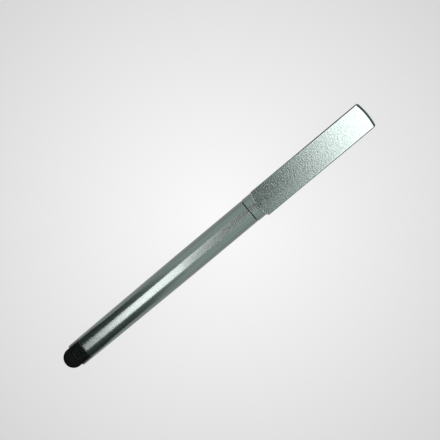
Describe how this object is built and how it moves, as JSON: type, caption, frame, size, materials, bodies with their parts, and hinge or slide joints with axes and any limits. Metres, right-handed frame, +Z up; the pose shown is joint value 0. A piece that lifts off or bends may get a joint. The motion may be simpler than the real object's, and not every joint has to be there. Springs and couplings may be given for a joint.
{
  "type": "stylus pen",
  "caption": "Slim capped stylus pen with a black rubber touch tip in a polished collar, satin grey-green barrel, dark parting ring and a pull-off cap with a wide flat sprung clip.",
  "frame": {"origin": "middle of the part's box, on the surface that the pen lies on", "axes": "+X along the pen from the touch tip to the cap's top, +Z up through the clip's face"},
  "size_m": [0.14, 0.0104, 0.0112],
  "materials": {
    "satin_shell": "bead-blasted and anodised grey-green",
    "dark_chrome": "polished dark chrome",
    "touch_rubber": "matt black conductive rubber",
    "black_ring": "gloss black",
    "black_grip": "satin black",
    "brass_insert": "turned",
    "nickel_silver": "bright turned",
    "spring_steel": "bright drawn wire",
    "clear_tube": "translucent",
    "white_plastic": "moulded",
    "blue_ink": "paste ink",
    "grease": "clear grease",
    "grey_liner": "moulded"
  },
  "bodies": {
    "barrel": {"barrel": "satin_shell", "thread_bushing": "brass_insert", "stylus_plug": "brass_insert", "stylus_collar": "dark_chrome", "stylus_tip": "touch_rubber", "refill_spring": "spring_steel"},
    "centre_ring": {"centre_ring": "black_ring"},
    "section": {"grip_section": "black_grip", "nose_cone": "satin_shell"},
    "refill": {"refill_tube": "clear_tube", "refill_holder": "white_plastic", "refill_point": "nickel_silver", "ink": "blue_ink", "ink_follower": "grease", "refill_tail": "white_plastic"},
    "ball": {"writing_ball": "spring_steel"},
    "cap": {"cap_tube": "satin_shell", "cap_liner": "grey_liner", "cap_head": "satin_shell", "clip_pin": "spring_steel", "clip_spring": "spring_steel"},
    "clip": {"clip": "satin_shell"}
  },
  "joints": [
    {"name": "ring_advance", "type": "slide", "parent": "barrel", "child": "centre_ring", "axis": [1, 0, 0], "range_m": [0, 0.007]},
    {"name": "section_screw", "type": "hinge", "parent": "centre_ring", "child": "section", "pos_m": [0.0158, 0, 0.0048], "axis": [1, 0, 0], "range_deg": [0, 2521]},
    {"name": "refill_float", "type": "slide", "parent": "section", "child": "refill", "axis": [-1, 0, 0], "range_m": [0, 0.0012], "stiffness_N_per_m": 300, "springref_m": -0.003, "deforming": ["refill_spring"]},
    {"name": "ball_roll", "type": "hinge", "parent": "refill", "child": "ball", "pos_m": [0.05065, 0, 0.0048], "axis": [0, 1, 0], "continuous": true},
    {"name": "cap_pull", "type": "slide", "parent": "section", "child": "cap", "axis": [1, 0, 0], "range_m": [0, 0.045]},
    {"name": "clip_lift", "type": "hinge", "parent": "cap", "child": "clip", "pos_m": [0.0626, 0, 0.0072], "axis": [0, 1, 0], "range_deg": [0, 5], "stiffness_Nm_per_rad": 1, "springref_deg": -2.98, "deforming": ["clip_spring"]}
  ],
  "couplings": [
    {"joint": "section_screw", "follows": "ring_advance", "rad_per_m": 6283.2}
  ]
}
